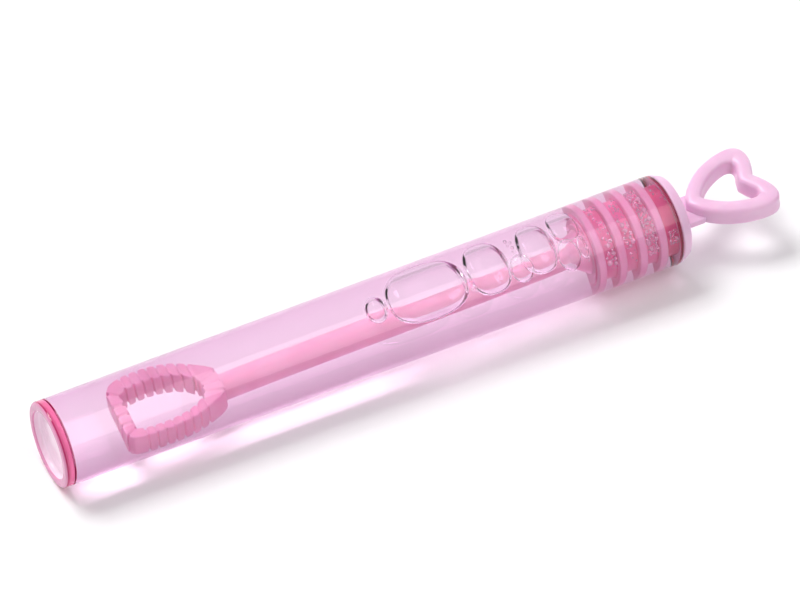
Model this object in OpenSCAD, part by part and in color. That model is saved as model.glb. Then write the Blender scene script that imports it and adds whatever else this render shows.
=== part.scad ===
// Bubble wand: a clear tube of bubble solution, lying on its side, closed by
// a push-in stopper. The stopper carries a heart handle outside the tube and,
// on a stem inside it, a finned loop that picks up the solution.
// X runs from the tube's base to the heart, and Z is up. Units are millimetres.
// The tube's widest line, at its mouth, touches the floor at Z = 0.

/* [Tube] */
// Length of the tube, from its base end to its mouth
tube_len = 92.8; // [78:0.1:130]
// Outer radius at the mouth
mouth_r = 6.6; // [6:0.05:8]
// Outer radius at the base end
base_r = 6.2; // [5.6:0.05:8]
// Radius of the straight bore that the stopper seats in
seat_r = 4.95; // [4.7:0.05:5.6]
// Straight bore beyond the inner end of the stopper's plug
seat_spare = 0.8; // [0.2:0.1:3]
// Radius of the bore at the base end
bore_base_r = 4.6; // [4.4:0.05:5.2]
// Rounding of the tube's outer end edges
tube_edge = 0.3; // [0.1:0.05:0.5]
// Chamfer at the inner edge of the mouth
mouth_lead = 0.2; // [0.05:0.05:0.4]

/* [Base plug] */
// Thickness of the plug's flange, outside the tube
base_flange_t = 1.4; // [1:0.05:2.5]
// Rounding of the flange's outer edge
base_edge = 0.42; // [0.1:0.02:0.5]
// Chamfer that makes the joint groove against the tube
joint_groove = 0.16; // [0.05:0.01:0.3]
// Length of the spigot inside the bore
spigot_len = 2.2; // [1.6:0.1:4]
// Radial clearance of the spigot in the bore
spigot_clear = 0.02; // [0.01:0.01:0.1]
// Radius of the recess in the plug's outer face
recess_r = 4.9; // [4:0.05:5]
// Thickness of the flange behind the recess
plug_floor_t = 0.4; // [0.3:0.05:0.8]
// Chamfer on the spigot's inner end
spigot_lead = 0.3; // [0.1:0.05:0.6]

/* [Stopper flange] */
// Thickness of the flange on the tube's mouth
flange_t = 1.6; // [1:0.05:3]
// Radius of the flange beside the mouth
flange_r = 6.5; // [6:0.05:8]
// Radius of the flange where its outer edge begins
flange_top_r = 6.1; // [5.4:0.05:8]
// Rounding of the edge beside the mouth
flange_low_edge = 0.25; // [0.1:0.05:0.4]
// Rounding of the outer edge
flange_top_edge = 0.5; // [0.1:0.05:0.6]

/* [Stopper plug] */
// Radius of the plug's core
core_r = 3.7; // [3:0.05:4.2]
// Number of sealing rings on the core
ring_count = 4; // [1:1:5]
// Distance from the mouth to the middle of the first ring
ring_first = 2.7; // [1.5:0.05:4]
// Distance from ring to ring
ring_pitch = 3.2; // [2:0.05:4]
// Width of a ring along the tube
ring_w = 1.25; // [0.8:0.05:1.6]
// Chamfer of a ring's edges
ring_edge = 0.3; // [0.1:0.05:0.38]
// Radial clearance of the rings in the straight bore
ring_clear = 0.05; // [0.02:0.01:0.1]
// Core beyond the last ring
core_end = 0.3; // [0.1:0.05:1]
// Length of the cone between the plug and the stem
root_len = 2.5; // [1:0.1:5]
// Radius of the cone where it leaves the plug
root_r = 2.7; // [2:0.05:2.9]

/* [Handle neck] */
// Width of the flat neck between the flange and the heart
neck_w = 5.2; // [3:0.1:7]
// Thickness of the neck
neck_t = 1.05; // [0.8:0.05:1.6]
// Depth of the neck's middle below the tube's axis
neck_drop = 0.28; // [0:0.01:0.4]

/* [Heart handle] */
// Gap from the flange to the heart's point
heart_gap = 1.85; // [1:0.05:4]
// Distance from the point to where the lobes are widest, on the middle line
heart_reach = 9.05; // [8:0.05:11]
// Distance from the point to the notch, on the middle line
heart_notch = 8.66; // [7.5:0.05:10]
// Width over the two lobes
heart_w = 12.6; // [10.5:0.1:14]
// Width of the heart's bar
bar_w = 2.53; // [2:0.01:2.9]
// Thickness of the heart's bar
bar_t = 2.85; // [2:0.05:3.6]
// Rounding of the bar's edges
bar_edge = 0.68; // [0.2:0.02:0.8]
// Angle between the tube's axis and each side at the point
point_angle = 59; // [50:0.5:66]
// Angle between the tube's axis and each lobe at the notch
notch_angle = 57; // [50:0.5:64]
// Length over which the side leaves the point straight
point_pull = 3.6; // [2.5:0.05:4.5]
// Length over which the side runs straight into the widest place
side_pull = 3.47; // [2.5:0.05:4.5]
// Length over which the lobe leaves the widest place
lobe_pull = 2.25; // [1.8:0.05:2.8]
// Length over which the lobe runs into the notch
notch_pull = 2.58; // [2:0.05:3.2]
// Height of the heart's middle above the tube's axis
heart_lift = 0.52; // [0:0.02:1]
// Angle by which the heart is turned to one side
heart_turn = 4.75; // [0:0.25:6]

/* [Stem] */
// Radius of the stem
stem_r = 1.35; // [1:0.05:1.6]
// Length of the stem's slight bend beside the loop
bend_len = 14; // [6:0.5:24]
// Depth of the stem's middle below the tube's axis
bend_drop = 0.5; // [0:0.05:0.7]

/* [Bubble loop] */
// Gap between the base plug and the loop
loop_gap = 6.3; // [1:0.1:12]
// Length of the loop
loop_len = 15.6; // [12.5:0.1:18]
// Thickness of the loop
loop_t = 2.65; // [2.2:0.05:3]
// Depth of the loop's middle below the tube's axis
loop_drop = 0.85; // [0.3:0.05:1]
// Gap between the loop's sides and the bore at the base end
loop_side_clear = 0.35; // [0.2:0.05:0.8]
// Least clearance of the loop's rounded lower edges in that bore
loop_edge_clear = 0.12; // [0.05:0.01:0.2]
// Rounding of the loop's upper edges
loop_edge = 0.6; // [0.2:0.05:0.9]
// Distance from the loop's base end to its opening
opening_start = 1.9; // [1.4:0.05:2.4]
// Length of the loop's closed end, from the opening to the stem
closed_end = 2.9; // [2.2:0.1:3.6]
// Width of the opening
opening_w = 5.66; // [4.6:0.02:6]
// Number of slits across the loop's sides
slit_count = 8; // [4:1:8]
// Distance from the loop's base end to the first slit
slit_first = 2.9; // [2.2:0.05:3.4]
// Distance from the last slit to the loop's stem end
slit_last = 3.39; // [2.8:0.01:4]
// Width of a slit
slit_w = 0.3; // [0.2:0.02:0.5]
// Depth of the slits on every side of the loop's bar
slit_depth = 0.38; // [0.2:0.02:0.45]
// Distance between the grooves across the loop's base end
groove_pitch = 1.25; // [1:0.05:1.4]
// Distance of the slanting grooves from the middle, where they meet the opening
slant_base_y = 2.3; // [2:0.05:2.6]
// Angle of the slanting grooves at the base end
slant_base_angle = 28; // [15:1:40]
// The same distance at the stem end
slant_stem_y = 0.95; // [0.7:0.05:1.2]
// Angle of the slanting grooves at the stem end
slant_stem_angle = 17; // [10:1:30]

/* [Solution] */
// Film between the solution's solid and the walls around it
wet_gap = 0.03; // [0.01:0.01:0.1]
// Clearance of the channel that the wand slides in
channel_clear = 0.4; // [0.2:0.05:0.6]
// Largest radius of the air bubbles under the top of the bore
bubble_r = 3.1; // [2:0.05:3.4]
// Height by which the bubbles break through the top of the solution
bubble_rise = 0.25; // [0.1:0.05:0.4]

/* [Hidden] */
$fn = 96;
// Overrun of every cut past the face that it opens
over = 0.5;

// Steps along the heart's side, along its lobe, and round one of its edges
side_steps = 12;
lobe_steps = 12;
edge_steps = 3;
// Steps along the stem, and sides round it
stem_steps = 14;
stem_sides = 28;
// Shares of the two curves that the mitred corners at point and notch take up
point_share = 0.1;
notch_share = 0.12;
// Share of the mitre that is left off the heart's corners, which are blunt
blunt_share = 0.08;

// Half outline of the loop from its base end, as shares of its length and half width
outline_shares = [
    [0, 0.66], [0.012, 0.74], [0.05, 0.88], [0.13, 0.965], [0.25, 1], [0.44, 1], [0.59, 0.953],
    [0.69, 0.87], [0.78, 0.765], [0.86, 0.65], [0.925, 0.553], [0.97, 0.447], [1, 0.306]
];
// Half outline of its opening, as shares of the opening's length and half width
opening_shares = [
    [0, 0.72], [0.02, 0.84], [0.095, 0.955], [0.24, 0.995], [0.39, 1], [0.56, 0.95],
    [0.716, 0.855], [0.855, 0.66], [0.956, 0.42], [1, 0]
];
// Ends of the air bubbles, as shares of the way from the loop to the plug's cone
bubble_shares = [[0.412, 0.467], [0.475, 0.696], [0.704, 0.82], [0.85, 0.955]];

// Places along X, from the base plug's outer face
tube_start = base_flange_t;
mouth_x = tube_start + tube_len;
spigot_end = tube_start + spigot_len;
plug_len = ring_first + (ring_count - 1)*ring_pitch + ring_w/2 + core_end;
plug_end = mouth_x - plug_len;
root_end = plug_end - root_len;
seat_end = plug_end - seat_spare;
flange_face = mouth_x + flange_t;
loop_start = spigot_end + loop_gap;
loop_end = loop_start + loop_len;
opening_end = loop_len - closed_end;
opening_len = opening_end - opening_start;
slit_pitch = (loop_len - slit_first - slit_last)/(slit_count - 1);

// Radii that follow the tube
ring_r = seat_r - ring_clear;
spigot_r = bore_base_r - spigot_clear;
loop_half_w = bore_base_r - loop_side_clear;
loop_bound_r = bore_base_r - loop_edge_clear;
recess_depth = base_flange_t - plug_floor_t;
loop_low = -loop_drop - loop_t/2;
loop_top = -loop_drop + loop_t/2;
channel_low = min(loop_low, -stem_r - loop_drop) - channel_clear;
channel_top = max(loop_top, stem_r) + channel_clear;

// Bore radius at a place x between the spigot and the straight bore
function bore_at(x) =
    bore_base_r + (seat_r - bore_base_r)*min(1, max(0, (x - spigot_end)/(seat_end - spigot_end)));

// Points of a quarter circle of radius r about [a, b], from angle g to angle h
function bend(a, b, r, g, h, n = 6) =
    [for (i = [0:n]) [a + r*cos(g + (h - g)*i/n), b + r*sin(g + (h - g)*i/n)]];

// Point of a cubic curve at share s
function curve(p, s) =
    pow(1 - s, 3)*p[0] + 3*pow(1 - s, 2)*s*p[1] + 3*(1 - s)*s*s*p[2] + pow(s, 3)*p[3];
function slope(p, s) =
    3*pow(1 - s, 2)*(p[1] - p[0]) + 6*(1 - s)*s*(p[2] - p[1]) + 3*s*s*(p[3] - p[2]);
function left_of(v) = [-v.y, v.x]/norm(v);

// The heart's middle line, one half: the side, then the lobe
lobe_y = (heart_w - bar_w)/2;
side_curve = [
    [0, 0],
    point_pull*[cos(point_angle), sin(point_angle)],
    [heart_reach - side_pull, lobe_y],
    [heart_reach, lobe_y]
];
lobe_curve = [
    [heart_reach, lobe_y],
    [heart_reach + lobe_pull, lobe_y],
    [heart_notch, 0] + notch_pull*[cos(notch_angle), sin(notch_angle)],
    [heart_notch, 0]
];
// Length of the mitres, for one unit of distance from the middle line
point_mitre = (1 - blunt_share)/sin(point_angle);
notch_mitre = (1 - blunt_share)/sin(notch_angle);
// Stations [place, outward direction] of the upper half and of the whole heart
half_stations = concat(
    [for (i = [0:side_steps]) let (s = point_share + (1 - point_share)*i/side_steps)
        [curve(side_curve, s), left_of(slope(side_curve, s))]],
    [for (i = [1:lobe_steps]) let (s = (1 - notch_share)*i/lobe_steps)
        [curve(lobe_curve, s), left_of(slope(lobe_curve, s))]]
);
half_count = len(half_stations);
stations = concat(
    [[[0, 0], [-point_mitre, 0]]],
    half_stations,
    [[[heart_notch, 0], [notch_mitre, 0]]],
    [for (i = [half_count - 1:-1:0]) let (q = half_stations[i])
        [[q[0].x, -q[0].y], [q[1].x, -q[1].y]]]
);
// Section of the bar: distance outwards and height
bar_section = concat(
    bend(bar_w/2 - bar_edge, bar_t/2 - bar_edge, bar_edge, 0, 90, edge_steps),
    bend(bar_edge - bar_w/2, bar_t/2 - bar_edge, bar_edge, 90, 180, edge_steps),
    bend(bar_edge - bar_w/2, bar_edge - bar_t/2, bar_edge, 180, 270, edge_steps),
    bend(bar_w/2 - bar_edge, bar_edge - bar_t/2, bar_edge, 270, 360, edge_steps)
);
heart_outline = [for (q = stations) q[0] + q[1]*bar_w/2];
heart_x = flange_face + heart_gap + point_mitre*bar_w/2;
heart_far = max([for (p = heart_outline) p.x*cos(heart_turn) - p.y*sin(heart_turn)]);
overall_len = heart_x + heart_far;

// Puts what is drawn about the tube's axis, from the base at X = 0, in its place
module placed() {
    translate([-overall_len/2, 0, mouth_r]) children();
}

// Turns a half profile of [radius, place along X] round the tube's axis
module turned(profile) {
    rotate([0, 90, 0]) rotate_extrude() polygon(profile);
}

module tube() {
    color("hotpink", 0.5) placed() turned(concat(
        [[bore_base_r, tube_start]],
        bend(base_r - tube_edge, tube_start + tube_edge, tube_edge, -90, 0),
        bend(mouth_r - tube_edge, mouth_x - tube_edge, tube_edge, 0, 90),
        [[seat_r + mouth_lead, mouth_x], [seat_r, mouth_x - mouth_lead]],
        [[seat_r, seat_end], [bore_base_r, spigot_end]]
    ));
}

module base_plug() {
    color("deeppink", 0.6) placed() turned(concat(
        [[recess_r, 0]],
        bend(base_r - base_edge, base_edge, base_edge, -90, 0),
        [[base_r, tube_start - joint_groove], [base_r - joint_groove, tube_start]],
        [[spigot_r, tube_start], [spigot_r, spigot_end - spigot_lead]],
        [[spigot_r - spigot_lead, spigot_end], [0, spigot_end], [0, recess_depth], [recess_r, recess_depth]]
    ));
}

// An air bubble between two places along X, pressed against the top of the bore
module air_bubble(from, to) {
    r = min(bubble_r, (to - from)/2);
    lift = bore_at((from + to)/2) - r + bubble_rise;
    translate([from + r, 0, lift]) {
        sphere(r);
        translate([to - from - 2*r, 0, 0]) sphere(r);
        rotate([0, 90, 0]) cylinder(h = to - from - 2*r, r = r);
    }
}

module bubble_solution() {
    color("lightpink", 0.4) placed() difference() {
        turned([
            [0, spigot_end + wet_gap],
            [bore_base_r - wet_gap, spigot_end + wet_gap],
            [bore_at(seat_end) - wet_gap, seat_end],
            [seat_r - wet_gap, plug_end - channel_clear],
            [0, plug_end - channel_clear]
        ]);
        channel_start = loop_start - channel_clear;
        translate([channel_start, -seat_r, channel_low])
            cube([mouth_x - channel_start, 2*seat_r, channel_top - channel_low]);
        translate([root_end - channel_clear, -seat_r, channel_low])
            cube([mouth_x - root_end, 2*seat_r, 2*seat_r]);
        way = root_end - loop_end;
        for (b = bubble_shares)
            air_bubble(loop_end + b[0]*way, loop_end + b[1]*way);
    }
}

module stopper_flange() {
    color("plum") placed() turned(concat(
        [[0, mouth_x]],
        bend(flange_r - flange_low_edge, mouth_x + flange_low_edge, flange_low_edge, -90, 0),
        bend(flange_top_r - flange_top_edge, flange_face - flange_top_edge, flange_top_edge, 0, 90),
        [[0, flange_face]]
    ));
}

// Outline of one sealing ring, from the side near the mouth inwards
function ring_profile(middle) = [
    [core_r, middle + ring_w/2],
    [ring_r - ring_edge, middle + ring_w/2],
    [ring_r, middle + ring_w/2 - ring_edge],
    [ring_r, middle - ring_w/2 + ring_edge],
    [ring_r - ring_edge, middle - ring_w/2],
    [core_r, middle - ring_w/2]
];

module stopper_plug() {
    color("palevioletred") placed() turned(concat(
        [[0, mouth_x], [core_r, mouth_x]],
        [for (i = [0:ring_count - 1]) each ring_profile(mouth_x - ring_first - i*ring_pitch)],
        [[core_r, plug_end], [root_r, plug_end], [stem_r, root_end], [0, root_end]]
    ));
}

// Puts the heart's own drawing, from its point at the origin, on the tube's axis
module at_heart() {
    translate([heart_x, 0, 0]) rotate([0, 0, heart_turn]) children();
}

module handle_neck() {
    color("orchid") placed() difference() {
        translate([flange_face, -neck_w/2, -neck_drop - neck_t/2])
            cube([heart_x + neck_w/2 - flange_face, neck_w, neck_t]);
        at_heart() translate([0, 0, -bar_t]) linear_extrude(2*bar_t) polygon(heart_outline);
    }
}

module heart_handle() {
    m = len(bar_section);
    n = len(stations);
    points = [for (q = stations) for (c = bar_section)
        [q[0].x + q[1].x*c.x, q[0].y + q[1].y*c.x, c.y]];
    faces = [for (i = [0:n - 1]) for (j = [0:m - 1])
        let (k = (i + 1) % n, l = (j + 1) % m)
        [i*m + j, i*m + l, k*m + l, k*m + j]];
    color("pink") placed() at_heart() translate([0, 0, heart_lift])
        polyhedron(points, faces, convexity = 6);
}

module wand_stem() {
    path = [
        [loop_end, -loop_drop],
        [loop_end + bend_len/2, -bend_drop],
        [root_end - bend_len/4, -bend_drop],
        [root_end, 0]
    ];
    points = [for (i = [0:stem_steps]) let (c = curve(path, i/stem_steps))
        for (j = [0:stem_sides - 1]) let (g = 360*j/stem_sides)
            [c.x, stem_r*cos(g), c.y + stem_r*sin(g)]];
    last = stem_steps*stem_sides;
    faces = concat(
        [[for (j = [0:stem_sides - 1]) j]],
        [for (i = [0:stem_steps - 1]) for (j = [0:stem_sides - 1])
            let (a = i*stem_sides, k = (j + 1) % stem_sides)
            [a + j, a + stem_sides + j, a + stem_sides + k, a + k]],
        [[for (j = [stem_sides - 1:-1:0]) last + j]]
    );
    color("lightpink") placed() polyhedron(points, faces, convexity = 4);
}

// Closed outline from half outline shares, for a form that starts at x
function both_sides(shares, x, long, half) = concat(
    [for (s = shares) [x + s[0]*long, s[1]*half]],
    [for (i = [len(shares) - 1:-1:0]) [x + shares[i][0]*long, -shares[i][1]*half]]
);

// The loop's band, with its faces drawn in by an inset
module loop_band(inset) {
    translate([0, 0, loop_low + inset]) linear_extrude(loop_t - 2*inset) difference() {
        polygon(both_sides(outline_shares, inset, loop_len - 2*inset, loop_half_w - inset));
        polygon(both_sides(opening_shares, opening_start - inset, opening_len + 2*inset, opening_w/2 + inset));
    }
}

// Section of the loop as [side, height]: flat sides, rounded upper edges, and
// lower edges cut back to stay inside the bore
module loop_section() {
    flat_low = -sqrt(pow(loop_bound_r, 2) - pow(loop_half_w, 2));
    low_half_w = sqrt(pow(loop_bound_r, 2) - pow(loop_low, 2));
    polygon(concat(
        bend(loop_half_w - loop_edge, loop_top - loop_edge, loop_edge, 0, 90, edge_steps),
        bend(loop_edge - loop_half_w, loop_top - loop_edge, loop_edge, 90, 180, edge_steps),
        [[-loop_half_w, flat_low], [-low_half_w, loop_low]],
        [[low_half_w, loop_low], [loop_half_w, flat_low]]
    ));
}

// A groove across an end of the loop, from [x, y] on the opening's edge outwards
module groove(x, y, angle, long) {
    translate([x, y, loop_low - over]) rotate([0, 0, angle])
        translate([-over, -slit_w/2, 0]) cube([long + 2*over, slit_w, loop_t + 2*over]);
}

module loop_slits() {
    for (i = [0:slit_count - 1])
        translate([slit_first + i*slit_pitch - slit_w/2, -loop_half_w, loop_low - over])
            cube([slit_w, 2*loop_half_w, loop_t + 2*over]);
    for (y = [-1:1]) groove(opening_start, y*groove_pitch, 180, opening_start);
    for (side = [-1, 1]) {
        groove(opening_start, side*slant_base_y, 180 - side*slant_base_angle, opening_start);
        groove(opening_end, side*slant_stem_y, side*slant_stem_angle, closed_end);
    }
    groove(opening_end, 0, 0, closed_end);
}

module bubble_loop() {
    color("violet") placed() intersection() {
        translate([loop_start, 0, 0]) union() {
            loop_band(slit_depth);
            difference() {
                loop_band(0);
                loop_slits();
            }
        }
        translate([loop_start - over, 0, 0]) rotate([90, 0, 90])
            linear_extrude(loop_len + 2*over) loop_section();
    }
}

tube();
base_plug();
bubble_solution();
stopper_flange();
stopper_plug();
handle_neck();
heart_handle();
wand_stem();
bubble_loop();
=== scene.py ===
import math
import random

import bmesh
import bpy
from mathutils import Matrix, Vector


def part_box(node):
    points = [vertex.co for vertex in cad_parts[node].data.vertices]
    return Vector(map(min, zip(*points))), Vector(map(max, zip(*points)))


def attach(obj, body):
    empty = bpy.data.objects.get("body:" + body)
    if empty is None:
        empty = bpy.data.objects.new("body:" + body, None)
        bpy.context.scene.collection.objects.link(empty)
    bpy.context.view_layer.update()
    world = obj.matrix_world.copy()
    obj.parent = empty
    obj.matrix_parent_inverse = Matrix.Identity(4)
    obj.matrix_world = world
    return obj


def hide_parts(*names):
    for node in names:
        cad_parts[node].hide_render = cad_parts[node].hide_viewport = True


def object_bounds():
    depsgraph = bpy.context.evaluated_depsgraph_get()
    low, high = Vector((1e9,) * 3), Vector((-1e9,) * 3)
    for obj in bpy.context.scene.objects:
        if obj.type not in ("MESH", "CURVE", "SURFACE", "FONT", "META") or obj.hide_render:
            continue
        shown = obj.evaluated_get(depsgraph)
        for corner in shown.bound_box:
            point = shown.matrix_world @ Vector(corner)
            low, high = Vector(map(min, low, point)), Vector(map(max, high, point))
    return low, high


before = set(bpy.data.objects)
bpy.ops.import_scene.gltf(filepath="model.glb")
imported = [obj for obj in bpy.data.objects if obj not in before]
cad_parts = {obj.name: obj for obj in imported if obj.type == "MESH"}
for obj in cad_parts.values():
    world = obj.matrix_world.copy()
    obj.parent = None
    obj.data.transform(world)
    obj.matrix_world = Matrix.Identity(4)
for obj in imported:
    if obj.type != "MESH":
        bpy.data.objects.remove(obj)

# Bubble wand: a clear pink tube of bubble solution, lying on its side, with a
# heart-handled stopper. Lengths in this script are millimetres from the tube's
# base face along X and from the tube's axis in Y and Z, until place() turns
# them into the frame's metres.
MM = 0.001
cad_low, cad_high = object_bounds()
BASE_X = cad_low.x / MM
AXIS_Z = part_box("tube")[1].z / MM / 2
TUBE_BODY, WAND_BODY = "tube_body", "wand_body"
random.seed(7)

# Sizes that repeat the CAD part's own
TUBE_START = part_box("tube")[0].x / MM - BASE_X
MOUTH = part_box("tube")[1].x / MM - BASE_X
MOUTH_R, BASE_R = AXIS_Z, 6.2
SEAT_R, BORE_BASE_R = 4.95, 4.6
SPIGOT_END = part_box("base_plug")[1].x / MM - BASE_X
RING_FIRST, RING_PITCH, RING_W, RING_COUNT = 2.7, 3.2, 1.25, 4
CORE_R, RING_R = 3.7, 4.9
STEM_R, STEM_DIP = 1.35, 0.5
FLANGE_LOW_R, FLANGE_TOP_R = 6.5, 6.1
NECK_HALF_W, NECK_MID, NECK_T = 2.6, -0.28, 1.05
RECESS_R, RECESS_DEPTH = 4.9, 1.0
ROOT_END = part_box("stopper_plug")[0].x / MM - BASE_X
CONE_LEN, CONE_R, CONE_EDGE_R, SEAT_SHORT = 2.5, 2.7, 2.6, 0.8
PLUG_END = ROOT_END + CONE_LEN
SEAT_END = PLUG_END - SEAT_SHORT
FLANGE_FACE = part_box("stopper_flange")[1].x / MM - BASE_X
LOOP_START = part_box("bubble_loop")[0].x / MM - BASE_X
LOOP_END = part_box("bubble_loop")[1].x / MM - BASE_X
LOOP_LEN = LOOP_END - LOOP_START
LOOP_DROP, LOOP_T, LOOP_HALF_W = 0.85, 2.65, 4.25
LOOP_LOW, LOOP_HIGH = -LOOP_DROP - LOOP_T / 2, -LOOP_DROP + LOOP_T / 2


def bore_at(x):
    """The bore's radius: it widens evenly from the spigot's end to the seat."""
    share = min(1.0, max(0.0, (x - SPIGOT_END) / (SEAT_END - SPIGOT_END)))
    return BORE_BASE_R + (SEAT_R - BORE_BASE_R) * share


# Mesh helpers


def place(p):
    """A point in millimetres about the tube's axis, in the frame's metres."""
    return Vector(((p[0] + BASE_X) * MM, p[1] * MM, (p[2] + AXIS_Z) * MM))


# Kinds of clear face: in the open air, against the solution, against more
# plastic with no gap that shows, and those at the mouth's end and on the base
# that scatter light. Each has its values for the attributes wet, cover (how
# much it scatters) and a colour. On clear faces the colour is their own faint
# tint; on the scattering faces it is painted: crimson edge glow on the mouth's
# end face and the base's side, and dark crimson shade on the mouth's outer edge
# and the base's edge and joints, for the deep colour light takes on long paths
# through the tinted plastic. The base's rim and recess floor take plain pinks.
# Wet is 0 in air and 1 against the solution, and at UNBENT light passes
# straight on.
UNBENT = 4 / 3
DRY, WET, JOINED, MOUTH_LINE, MOUTH_EDGE, BASE_RIM, BASE_FLOOR, BASE_SIDE, BASE_EDGE = range(9)
CLEAR = (1, 0.985, 0.995)
KINDS = {
    DRY: (0, 0, CLEAR),
    WET: (1, 0, CLEAR),
    JOINED: (UNBENT, 0, CLEAR),
    # Painted crimson edge glow on the mouth's end face, painted dark crimson shade on its outer edge
    MOUTH_LINE: (UNBENT, 1.0, (0.90, 0.08, 0.24)),
    MOUTH_EDGE: (0, 0.9, (0.42, 0.01, 0.08)),
    BASE_RIM: (0, 0.85, (0.78, 0.28, 0.50)),
    BASE_FLOOR: (0, 0.85, (1.0, 0.80, 0.93)),
    # Painted crimson edge glow on the base's side, painted dark crimson shade on its edge and joints
    BASE_SIDE: (0, 0.65, (0.90, 0.13, 0.34)),
    BASE_EDGE: (0, 0.85, (0.50, 0.012, 0.12)),
}


def to_object(bm, name, materials, sharp_deg=35.0, kinds=False):
    """Turns a bmesh in millimetres into an object in the frame.

    With kinds, the faces' material numbers are kinds of clear face.
    """
    for v in bm.verts:
        v.co = place(v.co)
    found = [f.material_index for f in bm.faces]
    if kinds:
        for f in bm.faces:
            f.material_index = 0
    mesh = bpy.data.meshes.new(name)
    bm.to_mesh(mesh)
    bm.free()
    if kinds:
        for i, attribute in enumerate(("wet", "cover")):
            values = [float(KINDS[k][i]) for k in found]
            mesh.attributes.new(attribute, "FLOAT", "FACE").data.foreach_set("value", values)
        tints_and_painted_edge_glows = [c for k in found for c in KINDS[k][2]]
        mesh.attributes.new("tint_and_painted_edge_glow", "FLOAT_VECTOR", "FACE").data.foreach_set("vector", tints_and_painted_edge_glows)
    for m in materials:
        mesh.materials.append(m)
    mesh.shade_smooth()
    mesh.set_sharp_from_angle(angle=math.radians(sharp_deg))
    obj = bpy.data.objects.new(name, mesh)
    bpy.context.scene.collection.objects.link(obj)
    return obj


def adopt(obj, body, slot, *nodes):
    """The piece rides on a body and stands for CAD nodes, which it hides."""
    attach(obj, body)
    if nodes:
        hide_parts(*nodes)
    return obj


def arc(cx, cr, radius, start, end, steps=8):
    """Points of an arc about (cx, cr) in a lathe's (x, radius) plane, in degrees."""
    turn = [math.radians(start + (end - start) * i / steps) for i in range(steps + 1)]
    return [(cx + radius * math.cos(a), cr + radius * math.sin(a)) for a in turn]


def strip(bm, a, b, index=0):
    """Faces between two rings of points; one of the rings may be a single point."""
    count = max(len(a), len(b))
    for j in range(count):
        k = (j + 1) % count
        quad = [a[j % len(a)], a[k % len(a)], b[k % len(b)], b[j % len(b)]]
        face = bm.faces.new(list(dict.fromkeys(quad)))
        face.material_index = index


def lathe(bm, profile, steps=176, closed=True):
    """Turns (x, radius, material) points round the tube's axis."""
    rings = []
    for x, r, _ in profile:
        if r < 1e-6:
            rings.append([bm.verts.new((x, 0, 0))])
        else:
            rings.append([
                bm.verts.new((x, r * math.cos(a), r * math.sin(a)))
                for a in (2 * math.pi * i / steps for i in range(steps))
            ])
    count = len(profile) if closed else len(profile) - 1
    for i in range(count):
        a, b = rings[i], rings[(i + 1) % len(rings)]
        if len(a) > 1 or len(b) > 1:
            strip(bm, a, b, profile[i][2])


def turned(profile, name, materials, body, slot, node, closed=True, kinds=False):
    """A piece turned on the lathe from its profile."""
    bm = bmesh.new()
    lathe(bm, profile, closed=closed)
    bmesh.ops.recalc_face_normals(bm, faces=bm.faces)
    return adopt(to_object(bm, name, materials, kinds=kinds), body, slot, node)


def with_slot(points, index=0):
    """A lathe's profile from plain points: each face takes its first point's index."""
    return [(x, r, index) for x, r in points]


def next_slot(profile, index):
    """Gives another index to the face that follows the profile's last point."""
    profile[-1] = (*profile[-1][:2], index)


def bezier(p, s):
    """The point at share s of a cubic curve with four control points."""
    a, b, c, d = (Vector(q) for q in p)
    t = 1 - s
    return a * t**3 + b * (3 * t * t * s) + c * (3 * t * s * s) + d * s**3


def smooth_line(points, per_span=6):
    """A smooth line through points, by Catmull and Rom's rule."""
    pts = [Vector(p) for p in points]
    pts = [pts[0] * 2 - pts[1]] + pts + [pts[-1] * 2 - pts[-2]]
    out = []
    for i in range(1, len(pts) - 2):
        a, b, c, d = pts[i - 1:i + 3]
        for k in range(per_span):
            t = k / per_span
            out.append(0.5 * (2 * b + (c - a) * t + (2 * a - 5 * b + 4 * c - d) * t * t
                              + (3 * b - a - 3 * c + d) * t**3))
    return out + [pts[-2]]


# Materials


def new_material(name):
    """An empty node material, with its nodes and links."""
    m = bpy.data.materials.new(name)
    m.use_nodes = True
    m.node_tree.nodes.clear()
    return m, m.node_tree.nodes, m.node_tree.links


def noise_bump(nodes, links, scale, strength, distance, stretch=(1, 1, 1)):
    """A bump node fed by noise in object space."""
    coords = nodes.new("ShaderNodeTexCoord")
    mapping = nodes.new("ShaderNodeMapping")
    mapping.inputs["Scale"].default_value = stretch
    texture = nodes.new("ShaderNodeTexNoise")
    texture.inputs["Scale"].default_value = scale
    texture.inputs["Detail"].default_value = 3
    bump = nodes.new("ShaderNodeBump")
    bump.inputs["Strength"].default_value = strength
    bump.inputs["Distance"].default_value = distance
    links.new(coords.outputs["Object"], mapping.inputs["Vector"])
    links.new(mapping.outputs["Vector"], texture.inputs["Vector"])
    links.new(texture.outputs["Fac"], bump.inputs["Height"])
    return bump, texture, mapping


def named_attribute(nodes, name):
    node = nodes.new("ShaderNodeAttribute")
    node.attribute_name = name
    return node


def follow_kinds(nodes, links, shader, ior, wet_ior):
    """Lets the kinds of clear face set how much they bend and scatter light."""
    bend = nodes.new("ShaderNodeMapRange")
    bend.clamp = False
    bend.inputs["To Min"].default_value = ior
    bend.inputs["To Max"].default_value = wet_ior
    links.new(named_attribute(nodes, "wet").outputs["Fac"], bend.inputs["Value"])
    links.new(bend.outputs["Result"], shader.inputs["IOR"])
    cover = named_attribute(nodes, "cover")
    clear = nodes.new("ShaderNodeMath")
    clear.operation = "SUBTRACT"
    clear.inputs[0].default_value = 1
    links.new(cover.outputs["Fac"], clear.inputs[1])
    links.new(clear.outputs["Value"], shader.inputs["Transmission Weight"])
    links.new(named_attribute(nodes, "tint_and_painted_edge_glow").outputs["Color"], shader.inputs["Base Color"])


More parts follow.
